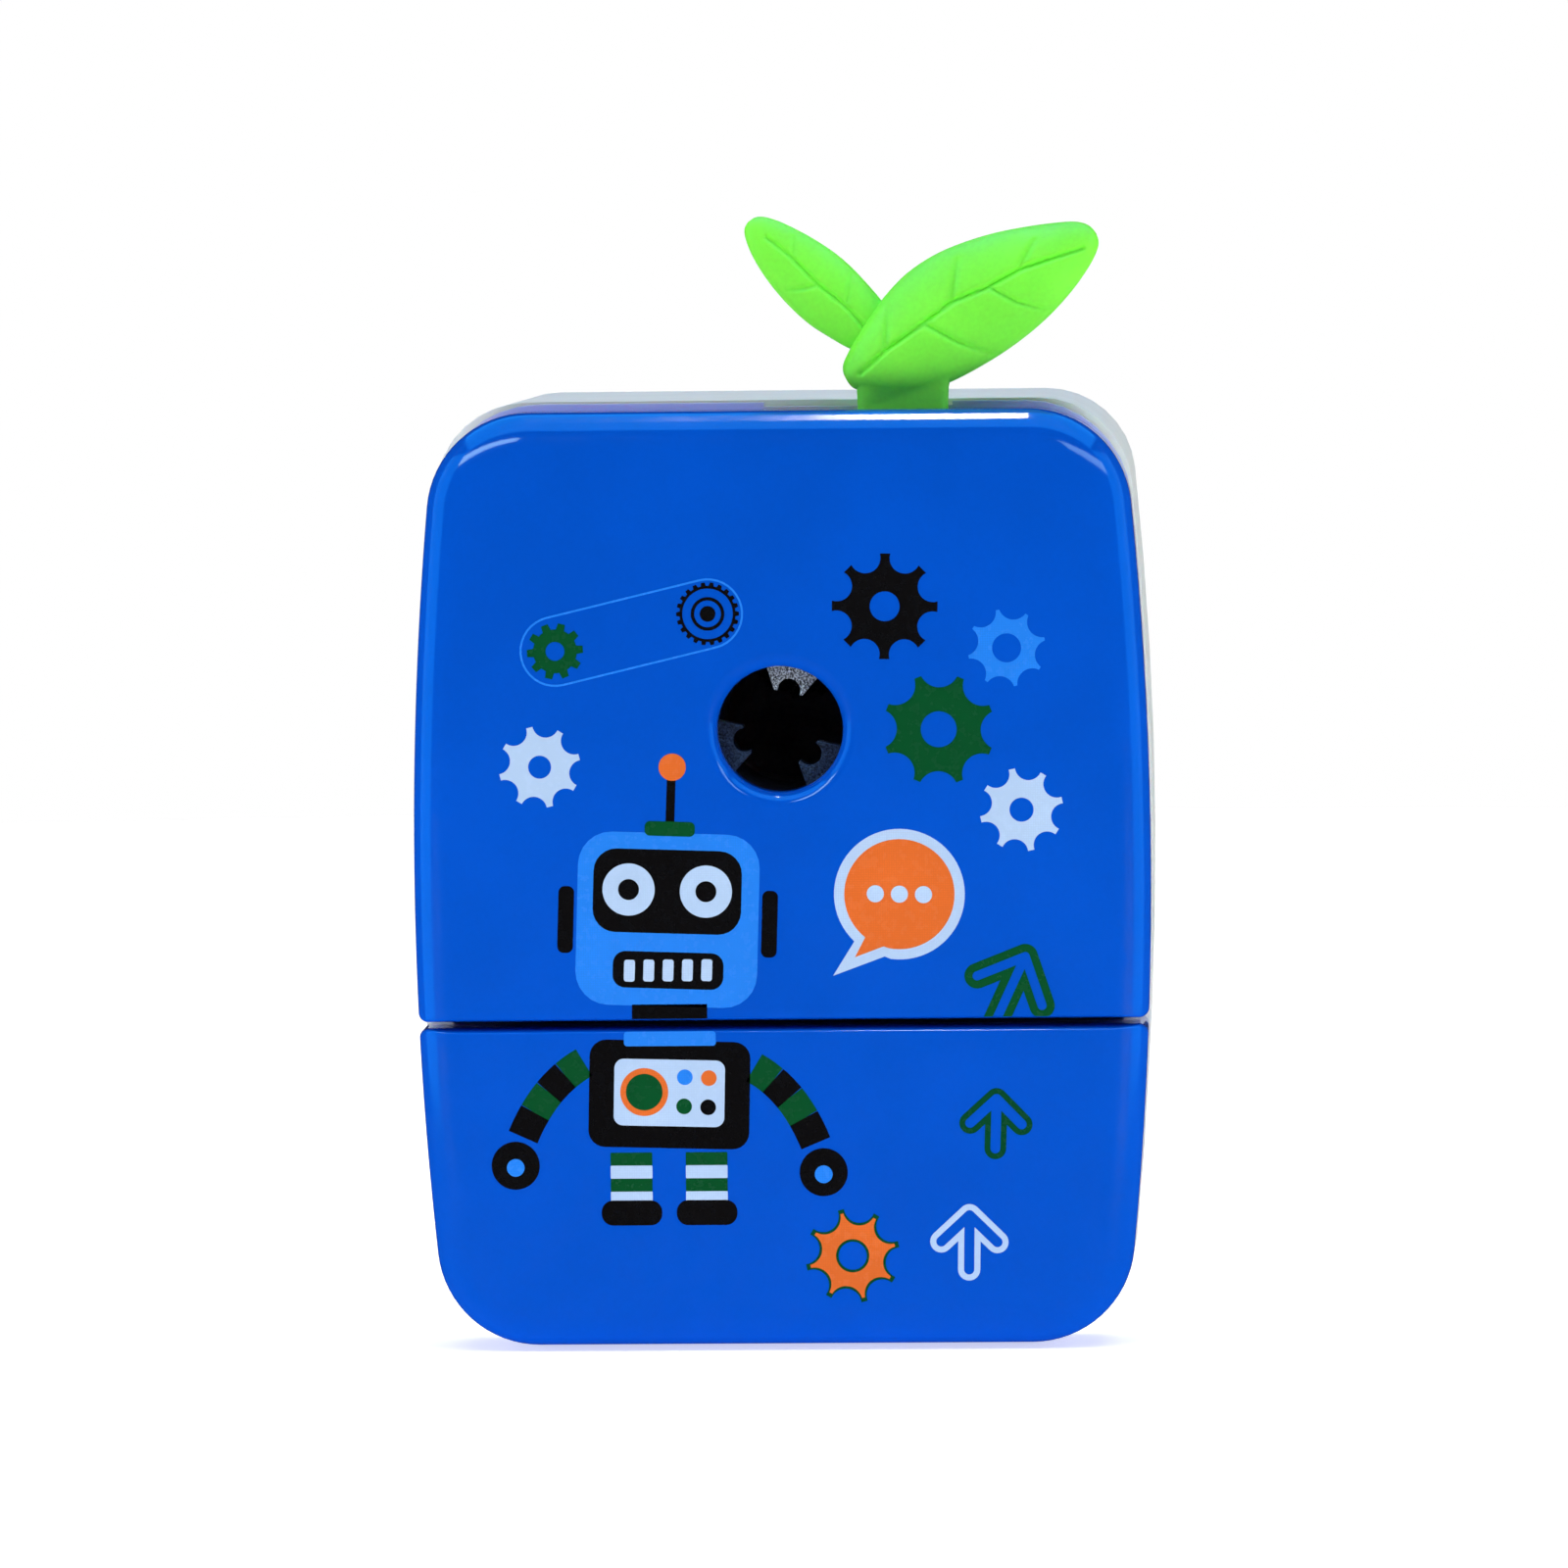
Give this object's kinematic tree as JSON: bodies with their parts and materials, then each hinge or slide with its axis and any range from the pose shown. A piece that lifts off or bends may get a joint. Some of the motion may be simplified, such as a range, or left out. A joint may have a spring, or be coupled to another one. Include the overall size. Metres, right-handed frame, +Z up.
{
  "type": "crank pencil sharpener",
  "caption": "Desk pencil sharpener with a pull-out sprung front, clamping jaws opened by a sprout-shaped lever, a helical cutter on a rear crank, and a shavings drawer.",
  "frame": {"origin": "on the desk under the middle of the whole depth and width", "axes": "+Z up, -Y out of the front face with the pencil hole, +X to the right as seen from the front"},
  "size_m": [0.071, 0.114, 0.108],
  "materials": {
    "white_plastic": "smooth semi-gloss moulded plastic",
    "pale_plastic": "smooth moulded plastic",
    "blue_plastic": "high gloss moulded plastic",
    "green_plastic": "soft matte plastic",
    "dark_plastic": "matte moulded plastic",
    "rubber": "matte rubber",
    "jaw_steel": "sand-textured pressed steel",
    "spring_steel": "drawn wire",
    "screw_steel": "bright plated steel",
    "rod_steel": "ground steel",
    "cast_metal": "die-cast zinc grey",
    "cutter_steel": "ground tool steel"
  },
  "bodies": {
    "housing": {"housing_shell": "white_plastic", "front_bulkhead": "white_plastic", "bulkhead_screws": "screw_steel", "guide_bushes": "dark_plastic", "pencil_guide": "dark_plastic", "ring_gear": "white_plastic", "gear_screws": "screw_steel", "rear_bush": "dark_plastic", "rubber_feet": "rubber", "return_spring_left": "spring_steel", "return_spring_right": "spring_steel"},
    "front_unit": {"front_cover": "blue_plastic", "clamp_plate": "pale_plastic", "cover_screws": "screw_steel", "guide_rod_left": "rod_steel", "guide_rod_right": "rod_steel", "rod_clips": "spring_steel", "jaw_pins": "screw_steel", "ring_spring": "spring_steel"},
    "release_lever": {"release_ring": "white_plastic", "leaf_grip": "green_plastic"},
    "top_jaw": {"jaw_top": "jaw_steel"},
    "left_jaw": {"jaw_left": "jaw_steel"},
    "right_jaw": {"jaw_right": "jaw_steel"},
    "drawer": {"drawer_front": "blue_plastic", "drawer_tray": "pale_plastic", "drawer_screws": "screw_steel"},
    "crank": {"cutter_carrier": "cast_metal", "cutter_axle_pin": "rod_steel", "crank_arm": "blue_plastic", "crank_washer": "screw_steel", "crank_screw": "screw_steel", "knob_pin": "screw_steel"},
    "cutter": {"helical_cutter": "cutter_steel", "cutter_pinion": "dark_plastic"},
    "knob": {"crank_knob": "white_plastic"}
  },
  "joints": [
    {"name": "front_slide", "type": "slide", "parent": "housing", "child": "front_unit", "axis": [0, -1, 0], "range_m": [0, 0.03], "stiffness_N_per_m": 60, "springref_m": -0.03, "deforming": ["return_spring_left", "return_spring_right"]},
    {"name": "release_swing", "type": "hinge", "parent": "front_unit", "child": "release_lever", "pos_m": [0, -0.0475, 0.0596], "axis": [0, -1, 0], "range_deg": [0, 16], "stiffness_Nm_per_rad": 0.05, "springref_deg": -11.46, "deforming": ["ring_spring"]},
    {"name": "jaw_top_pivot", "type": "hinge", "parent": "front_unit", "child": "top_jaw", "pos_m": [-0.00276, -0.05, 0.06921], "axis": [0, -1, 0], "range_deg": [0, 44.8]},
    {"name": "jaw_left_pivot", "type": "hinge", "parent": "front_unit", "child": "left_jaw", "pos_m": [-0.00695, -0.05, 0.05241], "axis": [0, -1, 0], "range_deg": [0, 44.8]},
    {"name": "jaw_right_pivot", "type": "hinge", "parent": "front_unit", "child": "right_jaw", "pos_m": [0.0097, -0.05, 0.05718], "axis": [0, -1, 0], "range_deg": [0, 44.8]},
    {"name": "drawer_slide", "type": "slide", "parent": "housing", "child": "drawer", "axis": [0, -1, 0], "range_m": [0, 0.045]},
    {"name": "crank_spin", "type": "hinge", "parent": "housing", "child": "crank", "pos_m": [0, 0.02, 0.0596], "axis": [0, 1, 0], "continuous": true},
    {"name": "cutter_spin", "type": "hinge", "parent": "crank", "child": "cutter", "pos_m": [0, -0.008, 0.06731], "axis": [0, 0.9839, -0.1788], "continuous": true},
    {"name": "knob_spin", "type": "hinge", "parent": "crank", "child": "knob", "pos_m": [0, 0.04, 0.0216], "axis": [0, 1, 0], "continuous": true}
  ],
  "couplings": [
    {"joint": "jaw_top_pivot", "follows": "release_swing", "ratio": 2.8},
    {"joint": "jaw_left_pivot", "follows": "release_swing", "ratio": 2.8},
    {"joint": "jaw_right_pivot", "follows": "release_swing", "ratio": 2.8},
    {"joint": "cutter_spin", "follows": "crank_spin", "ratio": -2}
  ]
}
